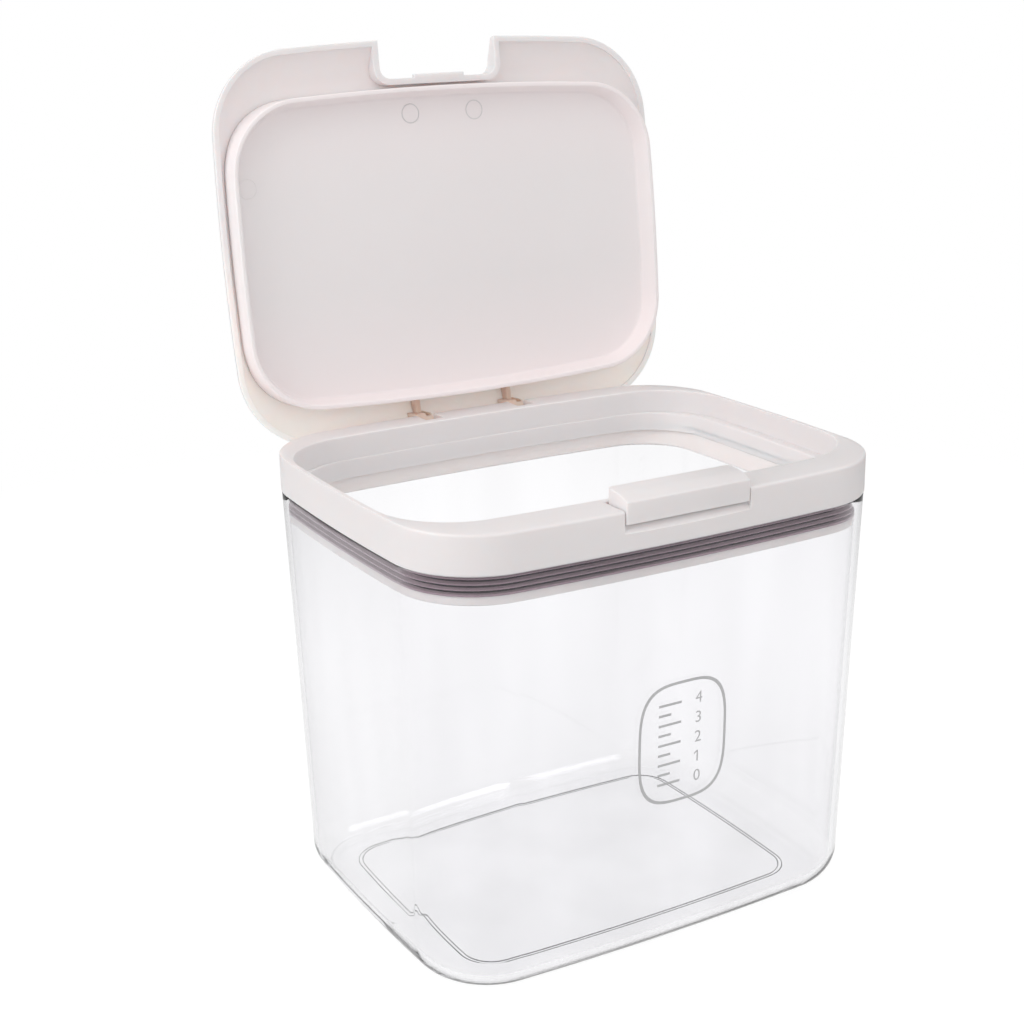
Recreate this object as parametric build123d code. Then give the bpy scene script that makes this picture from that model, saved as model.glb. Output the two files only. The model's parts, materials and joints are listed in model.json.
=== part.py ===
from build123d import *
import math
import os

# A clear food storage tub with a plug-in collar, a flip lid and a push-button latch.
# Lengths in millimetres, angles in degrees. Origin: centre of the tub's base.
# +Z is up, the front with the button faces -Y, and the lid opens at the back.

# Plan shape of the collar: a rounded rectangle whose four sides bulge slightly
WIDTH = 203.0
DEPTH = 162.0
CORNER_R = 33.5
BOW_FRONT_R = 1174.0
BOW_SIDE_R = 1012.0

# Tub
TUB_HEIGHT = 166.5
TUB_WALL = 2.5
TUB_FLOOR = 3.0
TUB_STEP_IN = 0.25
TUB_TAPER = 4.25
TUB_FOOT_CORNER_R = 32.1
TUB_FOOT_R = 13.3
BASE_GROOVE_INSET = 21.0
BASE_GROOVE_CORNER_R = 14.0
BASE_GROOVE_WIDTH = 1.8
BASE_GROOVE_DEPTH = 0.8

# Collar
COLLAR_HEIGHT = 14.9
COLLAR_EDGE_R = 1.2
COLLAR_WALL = 2.2
MOUTH_SIDE_WALL = 1.9
FRONT_LAND = 17.0
BACK_LAND = 13.2
MOUTH_CORNER_R = 31.0
MOUTH_DRAFT = 0.8
LEDGE_DROP = 9.7
LEDGE_SIDE = 3.8
LEDGE_END = 0.4
LEDGE_CORNER_R = 28.0
NECK_SIDE = 3.4
NECK_END = 0.3
NECK_CORNER_R = 26.5
LIP_DROP = 2.2
LIP_WALL = 1.2
HOLLOW_WIDTH = 156.0

# Retaining ring, inside the tub's mouth below the collar
RING_DEPTH = 11.5
RING_TUB_GAP = 0.5
RING_FLANGE = 3.4
RING_NECK_INSET = 3.0
RING_SKIRT = 2.0
RING_OPENING_RISE = 2.4
RING_OPENING_SIDE = 8.7
RING_OPENING_DRAFT = 2.2
RING_OPENING_END = 9.0
RING_OPENING_CORNER_R = 24.0
RING_TOP_PLATE = 2.3
RING_LIP_FIT = 0.1

# Ribbed seal round the ring's neck
SEAL_FIT = 0.05
SEAL_BODY = 1.6
SEAL_TUB_GAP = 0.35
SEAL_TOP_GAP = 0.1
SEAL_FOOT = 0.8
SEAL_RIBS = 3
SEAL_RIB_DROP = 1.3
SEAL_RIB_PITCH = 1.95
SEAL_RIB = 0.8

# Lid cover, drawn closed
LID_GAP = 0.5
LID_OVERHANG = 0.9
LID_EDGE = 3.0
LID_EDGE_LEAN = 0.3
LID_SHOULDER_INSET = 9.4
LID_SHOULDER_RISE = 6.9
LID_CROWN_INSET = 14.0
LID_CROWN_RISE = 8.2
LID_LIP = 2.5
LID_LIP_DEPTH = 1.0
LID_SKIN = 1.9
NOTCH_SIDE_GAP = 0.45
NOTCH_DEPTH = 15.8
NOTCH_CORNER_R = 4.5
TONGUE_WIDTH = 23.4
TONGUE_REACH = 1.5
TONGUE_THICKNESS = 2.0

# Inner lid, drawn closed
PLUG_SIDE_GAP = 1.3
PLUG_END_GAP = 1.8
PLUG_CORNER_R = 30.4
PLUG_DROP = 8.65
PLUG_RIM = 1.85
PLUG_DRAFT = 1.9
PLUG_PANEL_DEPTH = 0.35
PLUG_PANEL = 1.8

# Hinge: two arms of the lid cover on steel pins between cheeks of the collar
LID_OPEN_DEG = 96.5
HINGE_INSET = 2.5
HINGE_DROP = 6.1
HINGE_SPACING = 44.3
ARM_WIDTH = 7.7
ARM_SIDE_GAP = 0.4
ARM_DEPTH = 5.9
BARREL_R = 2.6
PIN_R = 1.2
PIN_RUNNING_FIT = 0.06
PIN_SEAT_FIT = 0.02
PIN_SEAT = 2.5
CHEEK = 3.0
HINGE_SLOT_DEPTH = 9.7
HINGE_SLOT_DROP = 9.4
ARM_RIB = 2.0
ARM_RIB_GAP = 0.3

# Push button in its slot at the collar's front
BUTTON_WIDTH = 53.2
BUTTON_SIDE_GAP = 0.55
BUTTON_SINK = 5.1
BUTTON_HEIGHT = 8.2
BUTTON_DEPTH = 13.0
BUTTON_SLOPE = 4.5
BUTTON_RISE = 2.0
BUTTON_BACK_RISE = 0.7
BUTTON_WALL = 2.0
BUTTON_ROOF = 7.3
BUTTON_CORNER_R = 2.0
BUTTON_BEND_R = 8.0
BUTTON_BACK_GAP = 0.8
BUTTON_TRAVEL_GAP = 3.5
SLOT_SLOPE = 2.6
SLOT_SLOPE_RISE = 2.4
SLOT_FLOOR = 2.5
SLOT_CHEEK = 3.6
PIVOT_INSET = 7.4
PIVOT_RISE = 1.9
PIVOT_R = 1.5
PIVOT_FIT = 0.06
PIVOT_REACH = 2.4
PIVOT_END_GAP = 0.35
HOOK_WIDTH = 20.0
HOOK_CATCH = 0.6
HOOK_TIP = 0.8
HOOK_HEIGHT = 2.6
HOOK_LIFT = 0.5
SPRING_R = 2.0
SPRING_WIRE = 0.5
SPRING_SPACING = 24.0
SPRING_INSET = 4.6
SPRING_SEAT_GAP = 0.4
SPRING_SEAT_RISE = 0.6

# How far a cutting body runs past the surface that it opens
PAST = 1.0

# Levels and lines that follow from the sizes above
COLLAR_TOP = TUB_HEIGHT + COLLAR_HEIGHT
LEDGE_Z = COLLAR_TOP - LEDGE_DROP
LIP_Z = TUB_HEIGHT - LIP_DROP
RING_Z = TUB_HEIGHT - RING_DEPTH
FLANGE_Z = RING_Z + RING_FLANGE
RIM_Z = COLLAR_TOP + LID_GAP
FRONT_Y = -DEPTH / 2
BACK_Y = DEPTH / 2
MOUTH_Y = (FRONT_LAND - BACK_LAND) / 2
HINGE_Y = BACK_Y - HINGE_INSET
HINGE_Z = RIM_Z - HINGE_DROP
NOTCH_Y = FRONT_Y - LID_OVERHANG + NOTCH_DEPTH
TONGUE_Y = NOTCH_Y - TONGUE_REACH
BUTTON_Z = COLLAR_TOP - BUTTON_SINK
BUTTON_BACK_Y = FRONT_Y + BUTTON_DEPTH
ROOF_Z = BUTTON_Z + BUTTON_ROOF
SLOT_Z = BUTTON_Z - BUTTON_TRAVEL_GAP
SLOT_BACK_Y = BUTTON_BACK_Y + BUTTON_BACK_GAP
SLOT_HALF = BUTTON_WIDTH / 2 + BUTTON_SIDE_GAP
PIVOT_Y = FRONT_Y + PIVOT_INSET
PIVOT_Z = BUTTON_Z + PIVOT_RISE
SPRING_Y = FRONT_Y + SPRING_INSET
SPRING_Z = SLOT_Z + SPRING_SEAT_RISE

# A cylinder or box that stands on its own origin
FROM_BELOW = (Align.CENTER, Align.CENTER, Align.MIN)

# Plans, each as half width, half depth and corner radius
COLLAR_PLAN = (WIDTH / 2, DEPTH / 2, CORNER_R)
MOUTH_PLAN = (WIDTH / 2 - MOUTH_SIDE_WALL, (DEPTH - FRONT_LAND - BACK_LAND) / 2, MOUTH_CORNER_R)


def inset(plan, distance):
    """The plan moved in by one distance all round."""
    return tuple(size - distance for size in plan)


def narrowed(plan, side, end, corner_r):
    """The plan moved in by one distance at its sides and another at its ends."""
    return (plan[0] - side, plan[1] - end, corner_r)


def outline(plan, z, centre_y=0.0):
    """A face at height z: four wide bowed sides joined by tangent corner arcs."""
    half_x, half_y, corner_r = plan
    side_centre = Vector(half_x - BOW_SIDE_R, 0)
    back_centre = Vector(0, half_y - BOW_FRONT_R)
    side_reach = BOW_SIDE_R - corner_r
    back_reach = BOW_FRONT_R - corner_r
    between = side_centre - back_centre
    span = between.length
    along = (back_reach**2 - side_reach**2 + span**2) / (2 * span)
    across = math.sqrt(back_reach**2 - along**2)
    unit = between.normalized()
    corner = back_centre + unit * along + Vector(-unit.Y, unit.X) * across
    if corner.X < 0:
        corner = back_centre + unit * along - Vector(-unit.Y, unit.X) * across
    back_end = back_centre + (corner - back_centre).normalized() * BOW_FRONT_R
    side_end = side_centre + (corner - side_centre).normalized() * BOW_SIDE_R
    middle = (back_end + side_end) * 0.5
    corner_mid = corner + (middle - corner).normalized() * corner_r
    quarters = [(1, 1), (1, -1), (-1, -1), (-1, 1)]
    edges = []
    for index, (sx, sy) in enumerate(quarters):
        first, last = (back_end, side_end) if sx * sy > 0 else (side_end, back_end)
        start = (sx * first.X, sy * first.Y)
        through = (sx * corner_mid.X, sy * corner_mid.Y)
        end = (sx * last.X, sy * last.Y)
        edges.append(ThreePointArc(start, through, end))
        next_sx, next_sy = quarters[(index + 1) % 4]
        side_mid = (sx * half_x, 0) if sx == next_sx else (0, sy * half_y)
        edges.append(ThreePointArc(end, side_mid, (next_sx * last.X, next_sy * last.Y)))
    return Pos(0, centre_y, z) * Face(Wire(edges))


def prism(plan, low, high, centre_y=0.0):
    """An upright body of one plan between two heights."""
    return extrude(outline(plan, low, centre_y), amount=high - low, dir=(0, 0, 1))


def tapered(*levels, centre_y=0.0):
    """A body with straight walls through a plan at each height."""
    return loft([outline(plan, z, centre_y) for plan, z in levels], ruled=True)


def block(x_range, y_range, z_range):
    """A box from its low and high limit along each axis."""
    size = [high - low for low, high in (x_range, y_range, z_range)]
    middle = [(high + low) / 2 for low, high in (x_range, y_range, z_range)]
    return Pos(*middle) * Box(*size)


def side_profile(points, x_low, x_high):
    """A polygon of (y, z) points drawn on a side plane and extruded along X."""
    face = make_face(Polyline([(x_low, y, z) for y, z in points], close=True))
    return extrude(face, amount=x_high - x_low, dir=(1, 0, 0))


def rod(radius, x_low, x_high, y, z):
    """A round bar along X."""
    return Pos((x_low + x_high) / 2, y, z) * Rot(0, 90, 0) * Cylinder(radius, x_high - x_low)


def tub_plan(z, wall=0.0):
    """The tub's outside at a height, or its inside where a wall is given."""
    share = z / TUB_HEIGHT
    lean = TUB_TAPER * (1 - share) + TUB_STEP_IN + wall
    corner_r = TUB_FOOT_CORNER_R + (CORNER_R - TUB_STEP_IN - TUB_FOOT_CORNER_R) * share - wall
    return narrowed(COLLAR_PLAN, lean, lean, corner_r)


def tub():
    """The clear box: tapered walls, a round foot edge and a shallow groove in its base."""
    outside = tapered((tub_plan(0), 0), (tub_plan(TUB_HEIGHT), TUB_HEIGHT))
    outside = fillet(outside.faces().sort_by(Axis.Z)[0].edges(), TUB_FOOT_R)
    over = TUB_HEIGHT + PAST
    inside = tapered((tub_plan(TUB_FLOOR, TUB_WALL), TUB_FLOOR), (tub_plan(over, TUB_WALL), over))
    inside = fillet(inside.faces().sort_by(Axis.Z)[0].edges(), TUB_FOOT_R - TUB_WALL)
    base = tub_plan(0)
    groove_plan = narrowed(base, BASE_GROOVE_INSET, BASE_GROOVE_INSET, BASE_GROOVE_CORNER_R)
    groove = prism(groove_plan, -PAST, BASE_GROOVE_DEPTH)
    groove -= prism(inset(groove_plan, BASE_GROOVE_WIDTH), -PAST, BASE_GROOVE_DEPTH)
    return outside - inside - groove


def neck_plan():
    """The collar's narrowest passage, at the bottom of its funnel."""
    return narrowed(ledge_plan(), NECK_SIDE, NECK_END, NECK_CORNER_R)


def ledge_plan():
    """The inner edge of the ledge round the collar's mouth."""
    return narrowed(inset(MOUTH_PLAN, MOUTH_DRAFT), LEDGE_SIDE, LEDGE_END, LEDGE_CORNER_R)


def hinge_centres():
    """The middle of each hinge arm along X."""
    return (-HINGE_SPACING / 2, HINGE_SPACING / 2)


def collar_hollow():
    """The spaces inside the collar's front and back lands, open at the bottom."""
    low = TUB_HEIGHT - PAST
    high = COLLAR_TOP - COLLAR_WALL
    hollow = prism(inset(COLLAR_PLAN, COLLAR_WALL), low, high)
    hollow -= prism(inset(MOUTH_PLAN, -COLLAR_WALL), low, high, MOUTH_Y)
    hollow &= block((-HOLLOW_WIDTH / 2, HOLLOW_WIDTH / 2), (FRONT_Y, BACK_Y), (low, high))
    latch_half = SLOT_HALF + SLOT_CHEEK
    latch = block((-latch_half, latch_half), (FRONT_Y, MOUTH_Y), (SLOT_Z - SLOT_FLOOR, high))
    hollow -= latch
    cheek_half = ARM_WIDTH / 2 + ARM_SIDE_GAP + CHEEK
    for centre in hinge_centres():
        hollow -= block((centre - cheek_half, centre + cheek_half), (MOUTH_Y, BACK_Y), (low, high))
    return hollow


def button_slot():
    """The slot for the button: sloped floor, pivot holes and spring seats."""
    slope_end = FRONT_Y + SLOT_SLOPE
    floor_z = SLOT_Z + SLOT_SLOPE_RISE
    over = COLLAR_TOP + PAST
    before = FRONT_Y - PAST
    points = [(before, SLOT_Z), (FRONT_Y, SLOT_Z), (slope_end, floor_z), (SLOT_BACK_Y, floor_z)]
    points += [(SLOT_BACK_Y, over), (before, over)]
    slot = side_profile(points, -SLOT_HALF, SLOT_HALF)
    bore_half = BUTTON_WIDTH / 2 + PIVOT_REACH + PIVOT_END_GAP
    slot += rod(PIVOT_R + PIVOT_FIT, -bore_half, bore_half, PIVOT_Y, PIVOT_Z)
    for x in spring_centres():
        seat = Cylinder(SPRING_R + SPRING_SEAT_GAP, BUTTON_TRAVEL_GAP, align=FROM_BELOW)
        slot += Pos(x, SPRING_Y, SPRING_Z) * seat
    return slot


def hinge_slots():
    """The two slots for the lid's arms, open at the back and the top, with the pins' holes."""
    half = ARM_WIDTH / 2 + ARM_SIDE_GAP
    slots = []
    for centre in hinge_centres():
        x_range = (centre - half, centre + half)
        y_range = (BACK_Y - HINGE_SLOT_DEPTH, BACK_Y + PAST)
        slots.append(block(x_range, y_range, (COLLAR_TOP - HINGE_SLOT_DROP, COLLAR_TOP + PAST)))
        reach = half + PIN_SEAT + PIN_SEAT_FIT
        slots.append(rod(PIN_R + PIN_SEAT_FIT, centre - reach, centre + reach, HINGE_Y, HINGE_Z))
    return slots


def collar_shell():
    """The collar: funnel mouth with a ledge, hollow lands, button slot and hinge slots."""
    body = prism(COLLAR_PLAN, TUB_HEIGHT, COLLAR_TOP)
    body = fillet(body.faces().sort_by(Axis.Z)[-1].edges(), COLLAR_EDGE_R)
    body += prism(inset(neck_plan(), -LIP_WALL), LIP_Z, TUB_HEIGHT, MOUTH_Y)
    draft = MOUTH_DRAFT / LEDGE_DROP * PAST
    over = COLLAR_TOP + PAST
    body -= tapered((inset(MOUTH_PLAN, MOUTH_DRAFT), LEDGE_Z), (inset(MOUTH_PLAN, -draft), over),
                    centre_y=MOUTH_Y)
    body -= tapered((neck_plan(), LIP_Z), (ledge_plan(), LEDGE_Z), centre_y=MOUTH_Y)
    body -= collar_hollow()
    body -= button_slot()
    for slot in hinge_slots():
        body -= slot
    return body


def ring_plan():
    """The retaining ring's flange, just inside the tub."""
    return inset(tub_plan(RING_Z, TUB_WALL), RING_TUB_GAP)


def retaining_ring():
    """The ring below the collar: a flange for the seal, a neck and a plate under the collar."""
    flange = ring_plan()
    neck = inset(flange, RING_NECK_INSET)
    opening = narrowed(flange, RING_OPENING_SIDE, RING_OPENING_END, RING_OPENING_CORNER_R)
    wide_opening = narrowed(opening, -RING_OPENING_DRAFT, 0, RING_OPENING_CORNER_R)
    plate_z = TUB_HEIGHT - RING_TOP_PLATE
    body = prism(flange, RING_Z, FLANGE_Z) + prism(neck, FLANGE_Z, TUB_HEIGHT)
    body -= tapered((inset(flange, RING_SKIRT), RING_Z), (opening, RING_Z + RING_OPENING_RISE),
                    (wide_opening, plate_z))
    body -= prism(inset(neck_plan(), -LIP_WALL - RING_LIP_FIT), plate_z, TUB_HEIGHT, MOUTH_Y)
    return body


def ribbed_seal():
    """The flexible seal: a band round the ring's neck with ribs towards the tub's wall."""
    neck = inset(ring_plan(), RING_NECK_INSET - SEAL_FIT)
    reach = inset(tub_plan(FLANGE_Z, TUB_WALL), SEAL_TUB_GAP)
    top = TUB_HEIGHT - SEAL_TOP_GAP
    body = prism(inset(neck, -SEAL_BODY), FLANGE_Z, top)
    body += prism(reach, FLANGE_Z, FLANGE_Z + SEAL_FOOT)
    for index in range(SEAL_RIBS):
        rib_top = top - SEAL_RIB_DROP - index * SEAL_RIB_PITCH
        body += prism(reach, rib_top - SEAL_RIB, rib_top)
    return body - prism(neck, FLANGE_Z - PAST, top + PAST)


def lid_plan():
    """The lid's rim, a little larger than the collar."""
    return inset(COLLAR_PLAN, -LID_OVERHANG)


def lid_outside():
    """The lid cover's outer form: edge, sloped shoulder and flat top."""
    plan = lid_plan()
    return tapered((plan, RIM_Z), (inset(plan, LID_EDGE_LEAN), RIM_Z + LID_EDGE),
                   (inset(plan, LID_SHOULDER_INSET), RIM_Z + LID_SHOULDER_RISE),
                   (inset(plan, LID_CROWN_INSET), RIM_Z + LID_CROWN_RISE))


def lid_hollow():
    """The space under the lid cover, carried down past the inner lid."""
    plan = lid_plan()
    return tapered((inset(plan, LID_LIP), RIM_Z - PLUG_DROP - PAST),
                   (inset(plan, LID_LIP), RIM_Z + LID_LIP_DEPTH),
                   (inset(plan, LID_SHOULDER_INSET), RIM_Z + LID_SHOULDER_RISE - LID_SKIN),
                   (inset(plan, LID_CROWN_INSET), RIM_Z + LID_CROWN_RISE - LID_SKIN))


def notch_body(margin):
    """The upright body of the front notch, widened all round by a margin."""
    half = BUTTON_WIDTH / 2 + NOTCH_SIDE_GAP + margin
    low = RIM_Z - PLUG_DROP - 2 * PAST
    high = RIM_Z + LID_CROWN_RISE + PAST
    body = block((-half, half), (FRONT_Y - LID_OVERHANG - PAST, NOTCH_Y + margin), (low, high))
    inner_edges = body.edges().filter_by(Axis.Z).group_by(Axis.Y)[-1]
    return fillet(inner_edges, NOTCH_CORNER_R + margin)


def hinge_arm(centre):
    """One arm of the lid cover, from inside its skin down to the barrel round the pin."""
    x_low = centre - ARM_WIDTH / 2
    x_high = centre + ARM_WIDTH / 2
    front = HINGE_Y - ARM_DEPTH
    back = HINGE_Y + BARREL_R
    skin_front = RIM_Z + LID_SHOULDER_RISE - LID_SKIN * 2 / 3
    skin_back = RIM_Z + LID_EDGE / 2
    points = [(front, skin_front), (front, HINGE_Z + BARREL_R), (HINGE_Y - BARREL_R, HINGE_Z)]
    points += [(back, HINGE_Z), (back, skin_back)]
    arm = side_profile(points, x_low, x_high)
    arm += rod(BARREL_R, x_low, x_high, HINGE_Y, HINGE_Z)
    arm -= rod(PIN_R + PIN_RUNNING_FIT, x_low - PAST, x_high + PAST, HINGE_Y, HINGE_Z)
    plug_back = BACK_Y - BACK_LAND - PLUG_END_GAP + ARM_RIB_GAP
    rib_top = RIM_Z + LID_CROWN_RISE - LID_SKIN * 2 / 3
    rib_points = [(plug_back, rib_top), (plug_back, RIM_Z + LID_LIP_DEPTH)]
    rib_points += [(front + PAST, RIM_Z + LID_LIP_DEPTH), (front + PAST, skin_front)]
    return arm + side_profile(rib_points, centre - ARM_RIB / 2, centre + ARM_RIB / 2)


def closed_lid_shell():
    """The lid cover: rim lip, notch with its own lip, catch tongue and hinge arms."""
    body = lid_outside() - (lid_hollow() - notch_body(LID_LIP))
    body -= notch_body(0)
    tongue_half = TONGUE_WIDTH / 2
    body += block((-tongue_half, tongue_half), (TONGUE_Y, NOTCH_Y + LID_LIP / 2),
                  (RIM_Z, RIM_Z + TONGUE_THICKNESS))
    for centre in hinge_centres():
        body += hinge_arm(centre)
    return body


def closed_lid_plug():
    """The inner lid: a rim wall that enters the mouth and a panel set back inside it."""
    plan = narrowed(MOUTH_PLAN, PLUG_SIDE_GAP, PLUG_END_GAP, PLUG_CORNER_R)
    bottom = RIM_Z - PLUG_DROP
    panel_z = RIM_Z - PLUG_PANEL_DEPTH
    top = RIM_Z + LID_CROWN_RISE
    body = prism(plan, bottom, top, MOUTH_Y) & lid_hollow()
    inner = inset(plan, PLUG_RIM)
    body -= tapered((inner, bottom), (inset(inner, PLUG_DRAFT), panel_z), centre_y=MOUTH_Y)
    body -= prism(inset(plan, PLUG_RIM), panel_z + PLUG_PANEL, top, MOUTH_Y)
    return body


def opened(shape):
    """The closed lid's piece turned up to the open rest pose."""
    return shape.rotate(Axis((0, HINGE_Y, HINGE_Z), (1, 0, 0)), -LID_OPEN_DEG)


def hinge_pin(centre):
    """A steel pin through one arm, seated in the cheeks on both sides."""
    half = ARM_WIDTH / 2 + ARM_SIDE_GAP + PIN_SEAT
    return rod(PIN_R, centre - half, centre + half, HINGE_Y, HINGE_Z)


def push_button():
    """The button: sloped top, pocket for the springs, pivot stubs and a hook at its back."""
    half = BUTTON_WIDTH / 2
    top = BUTTON_Z + BUTTON_HEIGHT
    bend_z = top + BUTTON_RISE
    points = [(FRONT_Y, BUTTON_Z), (FRONT_Y, top), (FRONT_Y + BUTTON_SLOPE, bend_z)]
    points += [(BUTTON_BACK_Y, bend_z + BUTTON_BACK_RISE), (BUTTON_BACK_Y, BUTTON_Z)]
    body = side_profile(points, -half, half)
    bend = body.edges().filter_by(Axis.X).sort_by(Axis.Z)[-2]
    body = fillet(bend, BUTTON_BEND_R)
    back_edges = body.edges().filter_by(Axis.Z).group_by(Axis.Y)[-1]
    body = fillet(back_edges, BUTTON_CORNER_R)
    pocket_half = half - BUTTON_WALL
    body -= block((-pocket_half, pocket_half), (FRONT_Y + BUTTON_WALL, BUTTON_BACK_Y - BUTTON_WALL),
                  (BUTTON_Z - PAST, ROOF_Z))
    for side in (-1, 1):
        ends = sorted((side * pocket_half, side * (half + PIVOT_REACH)))
        body += rod(PIVOT_R, ends[0], ends[1], PIVOT_Y, PIVOT_Z)
    return body + button_hook()


def button_hook():
    """The hook that holds the lid's tongue, sloped on top so that the tongue pushes it away."""
    hook_z = RIM_Z + TONGUE_THICKNESS + HOOK_LIFT
    tip_y = TONGUE_Y + HOOK_CATCH
    root_y = BUTTON_BACK_Y - BUTTON_WALL / 2
    points = [(root_y, hook_z), (tip_y, hook_z), (tip_y, hook_z + HOOK_TIP)]
    points += [(BUTTON_BACK_Y, hook_z + HOOK_HEIGHT), (root_y, hook_z + HOOK_HEIGHT)]
    return side_profile(points, -HOOK_WIDTH / 2, HOOK_WIDTH / 2)


def spring_centres():
    """The middle of each button spring along X."""
    return (-SPRING_SPACING / 2, SPRING_SPACING / 2)


def button_spring(x):
    """A return spring, from its seat in the slot's floor to the button's roof."""
    height = ROOF_Z - SPRING_Z
    body = Cylinder(SPRING_R, height, align=FROM_BELOW)
    body -= Cylinder(SPRING_R - SPRING_WIRE, height, align=FROM_BELOW)
    return Pos(x, SPRING_Y, SPRING_Z) * body


def main():
    nodes = {
        "tub": tub(),
        "collar_shell": collar_shell(),
        "retaining_ring": retaining_ring(),
        "ribbed_seal": ribbed_seal(),
        "lid_shell": opened(closed_lid_shell()),
        "lid_plug": opened(closed_lid_plug()),
        "push_button": push_button(),
    }
    for side, centre, x in zip(("left", "right"), hinge_centres(), spring_centres()):
        nodes[f"hinge_pin_{side}"] = hinge_pin(centre)
        nodes[f"button_spring_{side}"] = button_spring(x)
    os.makedirs("parts", exist_ok=True)
    for name, shape in nodes.items():
        export_step(shape, f"parts/{name}.step")


main()
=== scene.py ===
import json
import math

import bmesh
import bpy
from mathutils import Matrix, Vector


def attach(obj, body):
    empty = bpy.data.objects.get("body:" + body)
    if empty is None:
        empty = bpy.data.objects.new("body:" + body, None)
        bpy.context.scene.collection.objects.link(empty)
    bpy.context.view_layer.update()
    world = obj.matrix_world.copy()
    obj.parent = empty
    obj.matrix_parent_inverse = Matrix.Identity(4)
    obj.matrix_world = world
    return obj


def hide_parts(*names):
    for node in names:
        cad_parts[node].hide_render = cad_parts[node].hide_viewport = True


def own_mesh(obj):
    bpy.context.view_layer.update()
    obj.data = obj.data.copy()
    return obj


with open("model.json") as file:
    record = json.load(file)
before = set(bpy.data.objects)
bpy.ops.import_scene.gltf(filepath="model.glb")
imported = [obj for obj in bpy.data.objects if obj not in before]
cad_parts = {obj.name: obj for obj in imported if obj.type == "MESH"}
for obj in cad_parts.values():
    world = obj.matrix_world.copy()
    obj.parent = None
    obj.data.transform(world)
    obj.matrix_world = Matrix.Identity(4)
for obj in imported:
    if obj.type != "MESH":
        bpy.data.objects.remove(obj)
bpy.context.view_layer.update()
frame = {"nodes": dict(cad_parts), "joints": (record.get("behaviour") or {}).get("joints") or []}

# Sizes are in millimetres here and become metres when a mesh is made
MM = 0.001

# Plan shape: a rounded rectangle whose four sides bulge slightly
WIDTH = 203.0
DEPTH = 162.0
CORNER_R = 33.5
BOW_FRONT_R = 1174.0
BOW_SIDE_R = 1012.0
SIDE_STEPS = 48
CORNER_STEPS = 36

# Tub
TUB_HEIGHT = 166.5
TUB_WALL = 2.5
TUB_FLOOR = 3.0
TUB_STEP_IN = 0.25
TUB_TAPER = 4.25
TUB_FOOT_CORNER_R = 32.1
TUB_FOOT_R = 13.3
TUB_RIM_R = 0.5
TUB_RIM_BAND = 4.0
GROOVE_INSET = 21.0
GROOVE_CORNER_R = 14.0
GROOVE_WIDTH = 1.8
GROOVE_DEPTH = 0.8
GROOVE_DRAFT = 0.2
GROOVE_EDGE_R = 0.15
GROOVE_JOG = 2.2
GROOVE_JOG_X = -52.0
GROOVE_JOG_Y = -6.0

# Collar
COLLAR_TOP = 181.4
COLLAR_EDGE_R = 1.2
MOUTH_SIDE_WALL = 1.9
FRONT_LAND = 17.0
BACK_LAND = 13.2
MOUTH_CORNER_R = 31.0
MOUTH_DRAFT = 0.8
LEDGE_DROP = 9.7
LEDGE_SIDE = 3.8
LEDGE_END = 0.4
LEDGE_CORNER_R = 28.0
NECK_SIDE = 3.4
NECK_END = 0.3
NECK_CORNER_R = 26.5
LIP_DROP = 2.2
LIP_WALL = 1.2

# Retaining ring and seal
RING_DEPTH = 11.5
RING_TUB_GAP = 0.5
RING_FLANGE = 3.4
RING_NECK_INSET = 3.0
RING_SKIRT = 2.0
RING_OPENING_RISE = 2.4
RING_OPENING_SIDE = 8.7
RING_OPENING_DRAFT = 2.2
RING_OPENING_END = 9.0
RING_OPENING_CORNER_R = 24.0
RING_TOP_PLATE = 2.3
RING_TOP_GAP = 0.05
RING_PLATE_GAP = 0.06
RING_LIP_GAP = 0.1
SEAL_FIT = 0.05
SEAL_BODY = 1.6
SEAL_TUB_GAP = 0.35
SEAL_TOP_GAP = 0.1
SEAL_FOOT = 0.8
SEAL_RIBS = 3
SEAL_RIB_DROP = 1.3
SEAL_RIB_PITCH = 1.95
SEAL_RIB = 0.8

# Lid cover and inner lid, drawn closed and then opened
LID_GAP = 0.5
LID_OVERHANG = 0.9
LID_EDGE = 3.0
LID_EDGE_LEAN = 0.3
LID_SHOULDER_INSET = 9.4
LID_SHOULDER_RISE = 6.9
LID_CROWN_INSET = 14.0
LID_CROWN_RISE = 8.2
LID_LIP = 2.5
LID_LIP_DEPTH = 1.0
LID_SKIN = 1.9
NOTCH_HALF = 27.05
NOTCH_DEPTH = 15.8
NOTCH_CORNER_R = 4.5
TONGUE_HALF = 11.7
TONGUE_REACH = 1.5
TONGUE_THICKNESS = 2.0
PLUG_SIDE_GAP = 1.3
PLUG_END_GAP = 1.8
PLUG_CORNER_R = 30.4
PLUG_DROP = 8.65
PLUG_RIM = 1.85
PLUG_DRAFT = 1.9
PLUG_PANEL_DEPTH = 0.35
PLUG_PANEL = 1.8
PLUG_FOOT_GAP = 0.35

# Hinge arms and their slots
HINGE_SPACING = 44.3
ARM_WIDTH = 7.7
ARM_SIDE_GAP = 0.4
ARM_DEPTH = 5.9
BARREL_R = 2.6
HINGE_SLOT_DEPTH = 9.7
HINGE_SLOT_DROP = 9.4
ARM_RIB = 2.0
ARM_RIB_OVERLAP = 0.3
ARM_POCKET_LIFT = 1.9
ARM_POCKET_DEPTH = 2.2
ARM_POCKET_RISE = 4.0
ARM_POCKET_WALL = 0.8

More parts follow.
